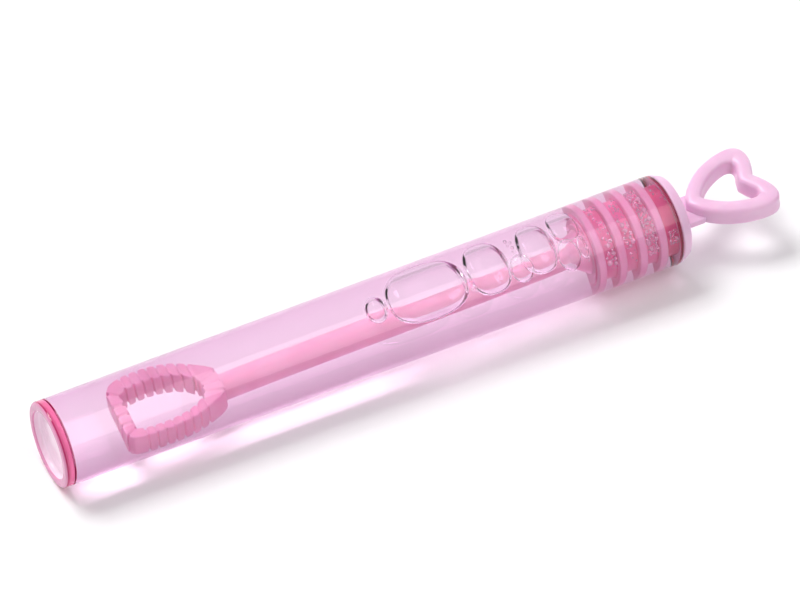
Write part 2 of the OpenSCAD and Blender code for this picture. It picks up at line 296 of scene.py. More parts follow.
def clear_material(name, ior, tint, roughness=0.0, absorb=None, bump=None, wet_ior=None, clearness=1):
    """Clear plastic or liquid with a tinted volume; wet faces may bend light by less."""
    m, nodes, links = new_material(name)
    out = nodes.new("ShaderNodeOutputMaterial")
    shader = nodes.new("ShaderNodeBsdfPrincipled")
    shader.inputs["Base Color"].default_value = (*tint, 1)
    shader.inputs["Transmission Weight"].default_value = clearness
    shader.inputs["Roughness"].default_value = roughness
    shader.inputs["IOR"].default_value = ior
    links.new(shader.outputs["BSDF"], out.inputs["Surface"])
    if wet_ior:
        follow_kinds(nodes, links, shader, ior, wet_ior)
    if absorb:
        volume = nodes.new("ShaderNodeVolumeAbsorption")
        volume.inputs["Color"].default_value = (*absorb, 1)
        volume.inputs["Density"].default_value = TINT_DENSITY
        links.new(volume.outputs["Volume"], out.inputs["Volume"])
    if bump:
        node, _, _ = noise_bump(nodes, links, *bump)
        links.new(node.outputs["Normal"], shader.inputs["Normal"])
    return m


def moulded_material(name, colour, deep, radius, weight=0.4, roughness=0.3):
    """Translucent moulded plastic with slight mottling and a fine moulded grain."""
    m, nodes, links = new_material(name)
    out = nodes.new("ShaderNodeOutputMaterial")
    shader = nodes.new("ShaderNodeBsdfPrincipled")
    shader.inputs["Subsurface Weight"].default_value = weight
    shader.inputs["Subsurface Radius"].default_value = (1.0, 0.45, 0.7)
    shader.inputs["Subsurface Scale"].default_value = radius
    shader.inputs["IOR"].default_value = 1.47
    bump, texture, mapping = noise_bump(nodes, links, *MOULD_GRAIN)
    links.new(bump.outputs["Normal"], shader.inputs["Normal"])
    cloud = nodes.new("ShaderNodeTexNoise")
    cloud.inputs["Scale"].default_value = 260
    cloud.inputs["Detail"].default_value = 2
    links.new(mapping.outputs["Vector"], cloud.inputs["Vector"])
    ramp = nodes.new("ShaderNodeValToRGB")
    ramp.color_ramp.elements[0].position = 0.3
    ramp.color_ramp.elements[0].color = (*deep, 1)
    ramp.color_ramp.elements[1].position = 0.62
    ramp.color_ramp.elements[1].color = (*colour, 1)
    links.new(cloud.outputs["Fac"], ramp.inputs["Fac"])
    links.new(ramp.outputs["Color"], shader.inputs["Base Color"])
    rough = nodes.new("ShaderNodeMapRange")
    rough.inputs["To Min"].default_value = roughness - 0.05
    rough.inputs["To Max"].default_value = roughness + 0.07
    links.new(texture.outputs["Fac"], rough.inputs["Value"])
    links.new(rough.outputs["Result"], shader.inputs["Roughness"])
    links.new(shader.outputs["BSDF"], out.inputs["Surface"])
    return m


# Volume tints, and bumps as scale, strength, distance in metres and stretch
PINK_ABSORB, DEEP_ABSORB, TINT_DENSITY = (0.67, 0.10, 0.56), (0.80, 0.08, 0.42), 150.0
TUBE_RIPPLE = (160, 0.25, 0.00002, (0.3, 1, 1))
BASE_RIPPLE = (420, 0.8, 0.00012, (1, 1, 1))
MOULD_GRAIN = (900, 0.12, 0.00002)
PLASTIC_IOR, LIQUID_IOR = 1.5, 1.333
WET_IOR = PLASTIC_IOR / LIQUID_IOR
plastic = clear_material("clear_pink_plastic", PLASTIC_IOR, CLEAR, absorb=PINK_ABSORB,
                         bump=TUBE_RIPPLE, wet_ior=WET_IOR)
liquid_skin = clear_material("solution_against_plastic", 1.0, (1, 1, 1))
liquid_air = clear_material("solution_against_air", LIQUID_IOR, (1, 1, 1))
# Half of each foam bubble is a matt pinkish white: a painted highlight standing in for the light that the
# bubbles catch
foam_skin = clear_material("foam_against_solution", LIQUID_IOR, (1.0, 0.78, 0.88), 0.03, clearness=0.5)
deep_plastic = clear_material("clear_deep_pink_plastic", PLASTIC_IOR, CLEAR, absorb=DEEP_ABSORB,
                              bump=BASE_RIPPLE, wet_ior=WET_IOR)
spigot_plastic = clear_material("clear_colourless_plastic", PLASTIC_IOR, (1, 1, 1), wet_ior=WET_IOR)
wand_pink = moulded_material("wand_pale_pink", (0.84, 0.54, 0.74), (0.80, 0.49, 0.70), 0.0010)
rose_pink = moulded_material("wand_rose_pink", (0.88, 0.50, 0.65), (0.84, 0.42, 0.58), 0.0012)
plug_pink = moulded_material("plug_pink", (0.92, 0.53, 0.68), (0.88, 0.45, 0.62), 0.0012)
# Painted shade on the plug: its grooves take a deeper pink, and the groove beside the flange a crimson,
# for the shade that falls in them
groove_painted_shade = moulded_material("plug_painted_groove_shade", (0.86, 0.30, 0.48), (0.74, 0.17, 0.38), 0.0010)
flange_painted_shade = moulded_material("plug_painted_flange_shade", (0.84, 0.18, 0.34), (0.64, 0.06, 0.24), 0.0010)


# Tube and base

# Gap left between faces that touch, so that no two faces share a plane
CONTACT = 0.012


def make_tube():
    """The wall, from the base's joint along the outside, round the mouth and back down the bore."""
    edge, joint, band, lead = 0.3, 0.1, 0.25, 0.2
    start, end = TUBE_START + CONTACT, MOUTH - CONTACT
    slope = math.degrees(math.atan((MOUTH_R - BASE_R) / (MOUTH - TUBE_START)))
    # The base end's joint edge and the mouth's outer edge take painted dark crimson shade, and the
    # mouth's end face painted crimson edge glow
    profile = with_slot(arc(start + joint, BASE_R - joint, joint, 180, 90 + slope), BASE_EDGE)
    next_slot(profile, DRY)
    profile += with_slot([(start + joint + band, BASE_R)], DRY)
    profile += with_slot(arc(end - edge, MOUTH_R - edge, edge, 90 + slope, 60, 3), DRY)
    profile += with_slot(arc(end - edge, MOUTH_R - edge, edge, 50, 0, 5), MOUTH_EDGE)
    next_slot(profile, MOUTH_LINE)
    profile += with_slot(arc(end - lead, SEAT_R + lead, lead, 0, -90, 4), MOUTH_LINE)
    next_slot(profile, WET)
    profile += with_slot([(SEAT_END, SEAT_R), (SPIGOT_END, BORE_BASE_R)], WET)
    profile += with_slot([(start, BORE_BASE_R)], JOINED)
    return turned(profile, "clear_tube", [plastic], TUBE_BODY, "tube", "tube", kinds=True)


def make_base_plug():
    """The cup that closes the tube: its rim, side, joint groove and the floor of its recess."""
    edge, groove, lip, fillet = 0.42, 0.16, 0.2, 0.4
    # The rim and recess floor take plain pinks; the rounded outer edge and the joint groove take painted
    # dark crimson shade, and the side painted crimson edge glow
    profile = with_slot(arc(lip, RECESS_R + lip, lip, -90, -180, 4), BASE_RIM)
    profile += with_slot(arc(edge, BASE_R - edge, edge, 180, 130), BASE_RIM)
    profile += with_slot(arc(edge, BASE_R - edge, edge, 122, 90, 4), BASE_EDGE)
    next_slot(profile, BASE_SIDE)
    profile += with_slot([(TUBE_START - groove, BASE_R), (TUBE_START, BASE_R - groove)], BASE_EDGE)
    profile += with_slot([(TUBE_START, BASE_R - groove - 0.02), (TUBE_START, 0)], JOINED)
    profile += with_slot([(RECESS_DEPTH - 0.12, 0), (RECESS_DEPTH - 0.05, 2.4)], BASE_FLOOR)
    profile += with_slot(arc(RECESS_DEPTH - fillet, RECESS_R - fillet, fillet, 0, 90, 5), BASE_FLOOR)
    return turned(profile, "base_cup", [deep_plastic], TUBE_BODY, "base_plug", "base_plug", kinds=True)


def make_spigot():
    """The base plug's inner end in the bore; light passes through its faces unbent."""
    lead, start, radius = 0.3, TUBE_START + CONTACT, BORE_BASE_R - 0.02
    points = [(start, 0), (start, radius), (SPIGOT_END - lead, radius)]
    points += [(SPIGOT_END, radius - lead), (SPIGOT_END, 0)]
    profile = with_slot(points, JOINED)
    return turned(profile, "base_spigot", [spigot_plastic], TUBE_BODY, "base_plug", "base_plug",
                  kinds=True)


# Solution and air

# Gap between the solution and the bore, the film left over a bubble, and how
# far a bead stays from the bore
SKIN, FILM, BEAD_GAP = 0.012, 0.06, 0.2


def drawn_in(y, z, limit, soft=0.12):
    """A point pulled in gently where it would pass a limit from the axis."""
    reach = math.hypot(y, z)
    if reach <= limit - soft:
        return y, z
    over = (reach - limit + soft) / soft
    pulled = limit - soft + soft * (1 - math.exp(-over))
    return y * pulled / reach, z * pulled / reach


def air_shape(bm, x0, x1, half_w, centre_z, half_h, power=0.75, turn=0.0, steps=(48, 56)):
    """A bubble pressed against the bore: an oval pulled in where it would leave the bore.

    It is turned about the tube's axis from the top towards the near side.
    """
    long, round_ = steps
    mid, a = (x0 + x1) / 2, (x1 - x0) / 2
    ct, st = math.cos(math.radians(turn)), math.sin(math.radians(turn))
    rows = []
    for i in range(long + 1):
        t = math.pi * i / long
        c, s = math.cos(t), math.sin(t)
        x = mid - a * math.copysign(abs(c) ** power, c)
        size = abs(s) ** power
        ring = []
        for j in range(1 if i in (0, long) else round_):
            u = 2 * math.pi * j / round_
            y, z = half_w * size * math.cos(u), centre_z + half_h * size * math.sin(u)
            y, z = drawn_in(y, z, bore_at(x) - FILM)
            ring.append(bm.verts.new((x, y * ct - z * st, y * st + z * ct)))
        rows.append(ring)
    for a_row, b_row in zip(rows, rows[1:]):
        strip(bm, a_row, b_row, 1)


def make_solution():
    """The liquid's skin along the bore, with the bubbles and beads as hollows in it."""
    lead, start, end = 0.3, SPIGOT_END + SKIN, PLUG_END + 0.02
    points = [(start, 0), (start, BORE_BASE_R - lead), (SPIGOT_END + lead, BORE_BASE_R - SKIN)]
    points += [(SEAT_END, SEAT_R - SKIN), (end, SEAT_R - SKIN), (end, 0)]
    bm = bmesh.new()
    lathe(bm, with_slot(points), closed=False)
    bmesh.ops.recalc_face_normals(bm, faces=bm.faces)
    outer = set(bm.faces)
    for spec in BUBBLES:
        air_shape(bm, **spec)
    for x, r, turn in BEADS:
        air_shape(bm, x - r, x + r, r, bore_at(x) - BEAD_GAP - r, r, 1.0, turn, steps=(10, 14))
    inner = [f for f in bm.faces if f not in outer]
    bmesh.ops.recalc_face_normals(bm, faces=inner)
    bmesh.ops.reverse_faces(bm, faces=inner)
    obj = to_object(bm, "bubble_solution_fill", [liquid_skin, liquid_air], 60)
    return adopt(obj, TUBE_BODY, "solution", "bubble_solution")


# Larger bubbles: span along X, half width, height and half height, how full
# the oval is, and the angle from the top towards the near side
BUBBLES = [
    dict(x0=47.5, x1=50.75, half_w=1.65, centre_z=3.2, half_h=1.5, power=1.0, turn=9.5),
    dict(x0=50.9, x1=62.8, half_w=3.7, centre_z=3.15, half_h=2.0, power=0.8, turn=10.5),
    dict(x0=63.0, x1=69.3, half_w=3.5, centre_z=3.3, half_h=1.9, power=0.84, turn=10),
    dict(x0=71.2, x1=76.5, half_w=3.4, centre_z=3.4, half_h=1.8, power=0.88, turn=8),
    dict(x0=76.7, x1=80.65, half_w=2.5, centre_z=4.1, half_h=1.2, power=0.78, turn=-12),
    dict(x0=69.0, x1=72.3, half_w=1.8, centre_z=3.9, half_h=0.85, power=1.0, turn=34),
    dict(x0=76.1, x1=79.4, half_w=2.0, centre_z=4.0, half_h=0.75, power=1.0, turn=41),
    dict(x0=79.3, x1=80.65, half_w=1.4, centre_z=4.2, half_h=0.6, power=0.9, turn=36),
]

# Beads of air between the bubbles: middle along X, radius, and angle from the
# top towards the near side
BEADS = [
    (62.75, 0.24, 40), (63.2, 0.2, 44), (63.0, 0.14, 36),
    (70.25, 0.24, -22), (70.75, 0.2, -15), (70.15, 0.17, -10), (70.6, 0.22, -4), (70.3, 0.14, 4),
    (76.5, 0.16, 22), (76.7, 0.13, 16),
]


# Wand


def make_flange():
    """The stopper's cap on the mouth, with a rounder outer edge."""
    low, top = 0.25, 0.5
    points = [(MOUTH, 0)] + arc(MOUTH + low, FLANGE_LOW_R - low, low, 180, 90, 5)
    points += arc(FLANGE_FACE - top, FLANGE_TOP_R - top, top, 80, 0, 8) + [(FLANGE_FACE, 0)]
    return turned(with_slot(points), "stopper_cap", [wand_pink], WAND_BODY, "wand", "stopper_flange",
                  closed=False)


# The plug's materials: its own pink on rings and cone, painted shade in the grooves, and deeper painted
# shade beside the flange
ON_RING, IN_GROOVE, BY_FLANGE = range(3)


def make_plug():
    """The plug with its four rings, and the cone down to the stem."""
    half, edge, fillet = RING_W / 2, 0.3, 0.2
    profile = with_slot([(MOUTH, 0), (MOUTH, CORE_R)], BY_FLANGE)
    for i in range(RING_COUNT):
        mid = MOUTH - RING_FIRST - i * RING_PITCH
        before = IN_GROOVE if i else BY_FLANGE
        profile += with_slot(arc(mid + half + fillet, CORE_R + fillet, fillet, -90, -180, 4), before)
        profile += with_slot(arc(mid + half - edge, RING_R - edge, edge, 0, 90, 5), ON_RING)
        profile += with_slot(arc(mid - half + edge, RING_R - edge, edge, 90, 180, 5), ON_RING)
        profile += with_slot(arc(mid - half - fillet, CORE_R + fillet, fillet, 0, -90, 4), IN_GROOVE)
    profile += with_slot(arc(PLUG_END + fillet, CORE_R - fillet, fillet, 90, 180, 4), ON_RING)
    cone = [(PLUG_END, CONE_R), (PLUG_END - 0.2, CONE_EDGE_R), (ROOT_END, STEM_R), (ROOT_END, 0)]
    profile += with_slot(cone, ON_RING)
    materials = [plug_pink, groove_painted_shade, flange_painted_shade]
    return turned(profile, "stopper_ribs", materials, WAND_BODY, "plug", "stopper_plug", closed=False)


# Foam in the plug's grooves: middle and half width along X, angles from the
# top towards the near side, count, and least and largest radius
FOAM = [
    (89.9, 0.8, -10, 80, 60, 0.22, 0.42),
    (89.9, 0.85, -30, 88, 160, 0.10, 0.20),
    (86.7, 0.7, 25, 62, 10, 0.25, 0.50),
    (86.7, 0.85, -25, 88, 40, 0.08, 0.22),
    (83.5, 0.7, 42, 82, 10, 0.25, 0.50),
    (83.5, 0.85, -25, 88, 40, 0.08, 0.20),
    (93.2, 0.7, 60, 84, 26, 0.10, 0.28),
    (93.2, 0.7, -30, 10, 12, 0.08, 0.18),
    (80.2, 0.4, 10, 60, 14, 0.08, 0.22),
]


def make_foam():
    """Small air bubbles that cling to the wet plug."""
    bm = bmesh.new()
    placed = []
    for middle, half, start, end, count, least, most in FOAM:
        for _ in range(count * 6):
            r = least + (most - least) * random.random() ** 2
            x = middle + (2 * random.random() - 1) * (half - r * 0.5)
            turn = math.radians(start + (end - start) * random.random())
            out = RING_R - r - 0.02 - 0.15 * random.random() ** 2
            spot = Vector((x, -out * math.sin(turn), out * math.cos(turn)))
            if count and all((spot - s).length > r + q for s, q in placed):
                placed.append((spot, r))
                bmesh.ops.create_icosphere(bm, subdivisions=2, radius=r, matrix=Matrix.Translation(spot))
                count -= 1
    bmesh.ops.recalc_face_normals(bm, faces=bm.faces)
    bmesh.ops.reverse_faces(bm, faces=bm.faces)
    return adopt(to_object(bm, "groove_foam", [foam_skin], 80), WAND_BODY, "plug")


def make_stem():
    """The round stem, from the loop to the plug's cone along a bent middle line."""
    path = [(LOOP_END - 0.3, -LOOP_DROP, 0), (LOOP_END + 7, -STEM_DIP, 0)]
    path += [(ROOT_END - 3.5, -STEM_DIP, 0), (ROOT_END + 0.1, 0, 0)]
    steps, sides = 40, 48
    turns = [2 * math.pi * j / sides for j in range(sides)]
    bm = bmesh.new()
    rows = []
    for i in range(steps + 1):
        c = bezier(path, i / steps)
        ring = [(c.x, STEM_R * math.cos(a), c.y + STEM_R * math.sin(a)) for a in turns]
        rows.append([bm.verts.new(p) for p in ring])
    for a_row, b_row in zip(rows, rows[1:]):
        strip(bm, a_row, b_row)
    bm.faces.new(rows[0])
    bm.faces.new(rows[-1])
    bmesh.ops.recalc_face_normals(bm, faces=bm.faces)
    return adopt(to_object(bm, "wand_stem_rod", [rose_pink]), WAND_BODY, "wand", "wand_stem")


# The heart: lengths from its point along X, width over all, the bar's width,
# thickness and rounding, half angles at point and notch, height of the middle,
# turn in plan, how much of the mitres is blunted, and the pulls of its curves
HEART_GAP, HEART_REACH, HEART_NOTCH = 1.85, 9.05, 8.66
HEART_W, BAR_W, BAR_T, BAR_EDGE = 12.57, 2.51, 2.85, 0.68
POINT_DEG, NOTCH_DEG, HEART_LIFT, HEART_TURN = 59.0, 57.0, 0.52, 4.75
BLUNT = 0.08
POINT_PULL, SIDE_PULL, LOBE_PULL, NOTCH_PULL = 3.6, 3.47, 2.25, 2.58


def heart_stations(side_steps=28, lobe_steps=30):
    """Places on the heart's middle line with the outward direction at each."""
    th, ph, lobe_y = math.radians(POINT_DEG), math.radians(NOTCH_DEG), (HEART_W - BAR_W) / 2
    side = [(0, 0, 0), (POINT_PULL * math.cos(th), POINT_PULL * math.sin(th), 0),
            (HEART_REACH - SIDE_PULL, lobe_y, 0), (HEART_REACH, lobe_y, 0)]
    lobe = [(HEART_REACH, lobe_y, 0), (HEART_REACH + LOBE_PULL, lobe_y, 0),
            (HEART_NOTCH + NOTCH_PULL * math.cos(ph), NOTCH_PULL * math.sin(ph), 0), (HEART_NOTCH, 0, 0)]
    line = [bezier(side, 0.1 + 0.9 * i / side_steps) for i in range(side_steps + 1)]
    line += [bezier(lobe, 0.88 * i / lobe_steps) for i in range(1, lobe_steps + 1)]
    ends = [Vector((0, 0, 0))] + line + [Vector((HEART_NOTCH, 0, 0))]
    half = []
    for before, here, after in zip(ends, ends[1:], ends[2:]):
        way = (after - before).normalized()
        half.append((here, Vector((-way.y, way.x, 0))))
    point = (Vector((0, 0, 0)), Vector((-(1 - BLUNT) / math.sin(th), 0, 0)))
    notch = (Vector((HEART_NOTCH, 0, 0)), Vector(((1 - BLUNT) / math.sin(ph), 0, 0)))
    mirror = [(Vector((p.x, -p.y, 0)), Vector((n.x, -n.y, 0))) for p, n in reversed(half)]
    return [point] + half + [notch] + mirror


def bar_section(width, thick, edge, crown=0.05, step=0.13, lip=0.85, steps=6):
    """Section of the bar as (outwards, up).

    It has crowned faces, round edges, and a lower lip that stands proud by step.
    """
    w, t = width / 2, thick / 2
    low_edge, ease = 0.45, 0.06
    turn = [math.pi / 2 * i / steps for i in range(steps + 1)]
    upper = [(w - step - edge + edge * math.cos(a), t - crown - edge + edge * math.sin(a)) for a in turn]
    lower = [(w - low_edge + low_edge * math.sin(a), low_edge - t - low_edge * math.cos(a)) for a in turn]
    face = [((w - edge) * s, t - crown * s * s) for s in (0.66, 0.33)]
    right = [(0.6, -t)] + lower + [(w, lip - t - ease), (w - step, lip - t + ease)] + upper + face
    return right + [(0, t)] + [(-x, y) for x, y in reversed(right)]


def evenly(line, step):
    """Points at even distances along a closed line."""
    out = []
    for a, b in zip(line, line[1:] + line[:1]):
        count = max(1, round((b - a).length / step))
        out += [a.lerp(b, i / count) for i in range(count)]
    return out


# Round ends of the opening's lobes: centre, radius, and the angles they span
LOBE_AT, LOBE_R, LOBE_FROM, LOBE_TO = (7.75, 2.72), 1.05, -33.0, 90.0


def within_lobe(q):
    """A point of the opening's edge, drawn in to the round end of its lobe."""
    side = math.copysign(1, q.y)
    d = Vector((q.x - LOBE_AT[0], abs(q.y) - LOBE_AT[1]))
    turn = math.degrees(math.atan2(d.y, d.x))
    if not LOBE_FROM < turn < LOBE_TO or d.length <= LOBE_R:
        return q
    d = d.normalized() * LOBE_R
    return Vector((LOBE_AT[0] + d.x, side * (LOBE_AT[1] + d.y), 0))


def rounded_inside(stations, half, step=0.06, rounds=60):
    """The inner edge of the bar, with the corners of its opening rounded off."""
    middle = [p for p, _ in stations]
    edge = [p - n * half for p, n in stations]
    clear = [q for q in edge if min((q - p).length for p in middle) > half * 0.9]
    clear = [within_lobe(q) for q in clear]
    dense = evenly(clear, step)
    for _ in range(rounds):
        dense = [q * 0.5 + (dense[i - 1] + dense[(i + 1) % len(dense)]) * 0.25
                 for i, q in enumerate(dense)]
    return [min(dense, key=lambda d: (d - q).length) for q in edge]


def make_heart():
    """The heart ring: the bar's section carried along the middle line."""
    section = bar_section(BAR_W, BAR_T, BAR_EDGE)
    stations = heart_stations()
    mitre = 1 / math.sin(math.radians(POINT_DEG))
    start = FLANGE_FACE + HEART_GAP + (1 - BLUNT) * mitre * BAR_W / 2
    turn = Matrix.Rotation(math.radians(HEART_TURN), 3, "Z")
    inner = rounded_inside(stations, BAR_W / 2)
    bm = bmesh.new()
    rows = []
    for (p, n), q in zip(stations, inner):
        row = []
        for out, h in section:
            spot = p + n * out if out > 0 else p + (p - q) * out / (BAR_W / 2)
            row.append(bm.verts.new(turn @ spot + Vector((start, 0, HEART_LIFT + h))))
        rows.append(row)
    for i, row in enumerate(rows):
        strip(bm, row, rows[(i + 1) % len(rows)])
    bmesh.ops.recalc_face_normals(bm, faces=bm.faces)
    bmesh.ops.smooth_vert(bm, verts=bm.verts, factor=0.35,
                          use_axis_x=True, use_axis_y=True, use_axis_z=True)
    return adopt(to_object(bm, "heart_ring", [wand_pink], 60), WAND_BODY, "wand", "heart_handle")


def make_neck():
    """The flat tab between the flange and the heart."""
    x0, x1 = FLANGE_FACE - 0.15, (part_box("handle_neck")[1] / MM).x - BASE_X
    bm = bmesh.new()
    bmesh.ops.create_cube(bm, size=1)
    for v in bm.verts:
        along = (x0 + x1) / 2 + v.co.x * (x1 - x0)
        v.co = (along, v.co.y * 2 * NECK_HALF_W, NECK_MID + v.co.z * NECK_T)
    bmesh.ops.bevel(bm, geom=bm.edges, offset=0.16, segments=3, profile=0.5, affect="EDGES")
    bmesh.ops.recalc_face_normals(bm, faces=bm.faces)
    return adopt(to_object(bm, "neck_tab", [wand_pink]), WAND_BODY, "wand", "handle_neck")


# The loop in plan, outline and opening: share of the length from the end
# nearer the tube's base, and share of the half width
OUTLINE = [(0, 0.66), (0.012, 0.74), (0.05, 0.88), (0.13, 0.965), (0.25, 1), (0.44, 1), (0.59, 0.953),
           (0.69, 0.87), (0.78, 0.765), (0.86, 0.65), (0.925, 0.553), (0.97, 0.447), (1, 0.306)]
OPENING = [(0, 0.72), (0.02, 0.84), (0.095, 0.955), (0.24, 0.995), (0.39, 1), (0.56, 0.95),
           (0.716, 0.855), (0.855, 0.66), (0.956, 0.42), (1, 0)]
OPENING_START, OPENING_LEN, OPENING_W = 1.9, 10.8, 5.66
SLIT_FIRST, SLIT_PITCH, SLIT_W, SLIT_COUNT = 2.9, 1.33, 0.28, 8
CORE_INSET, FIN_TAPER, FIN_BULGE = 0.3, 0.12, 0.06


def half_width(shares, x, start, long, half):
    """Half width of an outline at x, from its shares."""
    s = (x - start) / long
    if s <= 0 or s >= 1:
        return 0.0
    for (a, u), (b, v) in zip(shares, shares[1:]):
        if a <= s <= b:
            return half * (u + (v - u) * (s - a) / (b - a))
    return 0.0


def loop_outer(x):
    """Half width of the loop's outline at x from its start."""
    return half_width(OUTLINE, x, 0, LOOP_LEN, LOOP_HALF_W)


def loop_inner(x):
    """Half width of the loop's opening at x from its start."""
    return half_width(OPENING, x, OPENING_START, OPENING_LEN, OPENING_W / 2)


def plan_ring(shares, start, long, half):
    """A closed outline in plan, smoothed through its shares on both sides."""
    pts = smooth_line([(start + s * long, w * half, 0) for s, w in shares], 3)
    return [(p.x, p.y) for p in pts] + [(p.x, -p.y) for p in reversed(pts)]


def loop_core(inset):
    """The bar inside the fins: its two outlines in plan, and its bottom and top."""
    outer = plan_ring(OUTLINE, inset, LOOP_LEN - 2 * inset, LOOP_HALF_W - inset)
    inner = plan_ring(OPENING, OPENING_START - inset, OPENING_LEN + 2 * inset, OPENING_W / 2 + inset)
    return outer, inner, LOOP_LOW + 0.3, LOOP_HIGH - 0.14


def wall_ring(bm, outer, inner, low, high):
    """A band between two outlines: each is closed by walls, and bridged at top and bottom."""
    loops = []
    for outline in (outer, inner):
        for z in (low, high):
            verts = [bm.verts.new((LOOP_START + x, y, z)) for x, y in outline]
            edges = [bm.edges.new((verts[i], verts[(i + 1) % len(verts)])) for i in range(len(verts))]
            loops.append((verts, edges))
    for (va, _), (vb, _) in ((loops[0], loops[1]), (loops[2], loops[3])):
        strip(bm, va, vb)
    for a, b in ((0, 2), (1, 3)):
        bmesh.ops.triangle_fill(bm, use_beauty=True, edges=loops[a][1] + loops[b][1])


def block(bm, corners, low, high, taper):
    """A segment of the loop: an outline in plan, drawn in by taper at its bottom and top."""
    cx = sum(c[0] for c in corners) / len(corners)
    cy = sum(c[1] for c in corners) / len(corners)
    levels = [(low, taper), (low + 0.35, 0.0), (high - 0.45, 0.0)]
    levels += [(high - 0.12, taper * 0.6), (high, taper * 1.6)]
    rows = []
    for z, pull in levels:
        row = []
        for x, y in corners:
            d = Vector((cx - x, cy - y))
            d = d.normalized() * pull if d.length else d
            row.append(bm.verts.new((LOOP_START + x + d.x, y + d.y, z)))
        rows.append(row)
    for a, b in zip(rows, rows[1:]):
        strip(bm, a, b)
    bm.faces.new(rows[0][::-1])
    bm.faces.new(rows[-1])


def loop_fins():
    """Plan outlines of the fins between the slits, on one side."""
    gap = SLIT_W / 2
    fins = []
    for i in range(SLIT_COUNT - 1):
        a, b = SLIT_FIRST + i * SLIT_PITCH + gap, SLIT_FIRST + (i + 1) * SLIT_PITCH - gap
        m = (a + b) / 2
        fins.append([(a, loop_inner(a)), (m, loop_inner(m) - FIN_BULGE), (b, loop_inner(b)),
                     (b, loop_outer(b)), (m, loop_outer(m) + FIN_BULGE), (a, loop_outer(a))])
    return fins


def loop_ends():
    """Plan outlines of the corner and end blocks before and after the fins, on one side."""
    first = SLIT_FIRST - SLIT_W / 2
    last = SLIT_FIRST + (SLIT_COUNT - 1) * SLIT_PITCH + SLIT_W / 2
    base_turn, far_edge = OPENING_START + 0.3, LOOP_LEN - 0.1
    base_corner = [(first, loop_inner(first))]
    base_corner += [(x, loop_outer(x)) for x in (first, 1.9, 0.9, 0.3)]
    base_corner += [(0.12, 3.3), (OPENING_START - 0.05, 2.35), (base_turn, loop_inner(base_turn))]
    stem_corner = [(last, loop_inner(last)), (12.4, 0.95), (12.75, 0.9), (far_edge, 1.62)]
    stem_corner += [(x, loop_outer(x)) for x in (LOOP_LEN - 0.5, LOOP_LEN - 1.2, LOOP_LEN - 2.2, last)]
    base_side = [(OPENING_START, 1.42), (OPENING_START, 2.1), (0.05, 3.0), (0.0, 2.2), (0.0, 1.42)]
    base_mid = [(OPENING_START, 0.13), (OPENING_START, 1.13), (0.0, 1.13), (0.0, 0.13)]
    stem_mid = [(12.62, 0.13), (12.75, 0.62), (LOOP_LEN, 1.28), (LOOP_LEN, 0.13)]
    return [base_corner, stem_corner, base_side, base_mid, stem_mid]


def make_loop():
    """The finned loop: a core ring and its blocks, both sides, joined into one skin."""
    bm = bmesh.new()
    wall_ring(bm, *loop_core(CORE_INSET))
    for outline in loop_fins() + loop_ends():
        for s in (1, -1):
            block(bm, [(x, y * s) for x, y in outline], LOOP_LOW, LOOP_HIGH, FIN_TAPER)
    bmesh.ops.recalc_face_normals(bm, faces=bm.faces)
    obj = remeshed(to_object(bm, "finned_loop", [rose_pink], 80), voxel=0.00009, rounds=2)
    return adopt(obj, WAND_BODY, "wand", "bubble_loop")


def remeshed(obj, voxel, rounds):
    """Joins overlapping shells into one skin and rounds its edges."""
    mod = obj.modifiers.new("skin", "REMESH")
    mod.mode, mod.voxel_size, mod.use_smooth_shade = "VOXEL", voxel, True
    soft = obj.modifiers.new("soft", "SMOOTH")
    soft.factor, soft.iterations = 0.5, rounds
    apply_modifiers(obj)
    return obj


def apply_modifiers(obj):
    """Puts the shape after the modifiers in the place of the object's mesh."""
    deps = bpy.context.evaluated_depsgraph_get()
    mesh = bpy.data.meshes.new_from_object(obj.evaluated_get(deps))
    materials = list(obj.data.materials)
    obj.modifiers.clear()
    obj.data = mesh
    obj.data.materials.clear()
    for m in materials:
        obj.data.materials.append(m)


# Camera and studio

# The photograph's size; the camera's focal length in pixels, turn and height
# in degrees and distance; and the pixel at which a point of the axis shows
IMAGE_W, IMAGE_H = 800, 600
FOCAL_PX, CAM_AZ, CAM_EL, CAM_DIST = 6500.0, 26.578, 47.059, 878.459
ANCHOR_PX, ANCHOR_X = (52.5, 443.8), 0.73


def make_camera():
    """The camera that sees the tube's two end ellipses as the photograph does."""
    a, e = math.radians(CAM_AZ), math.radians(CAM_EL)
    right = Vector((math.cos(a), -math.sin(a), 0))
    up = Vector((math.sin(a) * math.sin(e), math.cos(a) * math.sin(e), math.cos(e)))
    ahead = Vector((math.sin(a) * math.cos(e), math.cos(a) * math.cos(e), -math.sin(e)))
    side = CAM_DIST * (ANCHOR_PX[0] - IMAGE_W / 2) / FOCAL_PX
    rise = -CAM_DIST * (ANCHOR_PX[1] - IMAGE_H / 2) / FOCAL_PX
    spot = place((ANCHOR_X, 0, 0)) - (right * side + up * rise + ahead * CAM_DIST) * MM
    data = bpy.data.cameras.new("camera")
    data.sensor_width = 36.0
    data.lens = data.sensor_width * FOCAL_PX / IMAGE_W
    data.clip_start, data.clip_end = 0.01, 20
    cam = bpy.data.objects.new("camera", data)
    cam.matrix_world = Matrix.Translation(spot) @ Matrix((right, up, -ahead)).transposed().to_4x4()
    bpy.context.scene.collection.objects.link(cam)
    bpy.context.scene.camera = cam


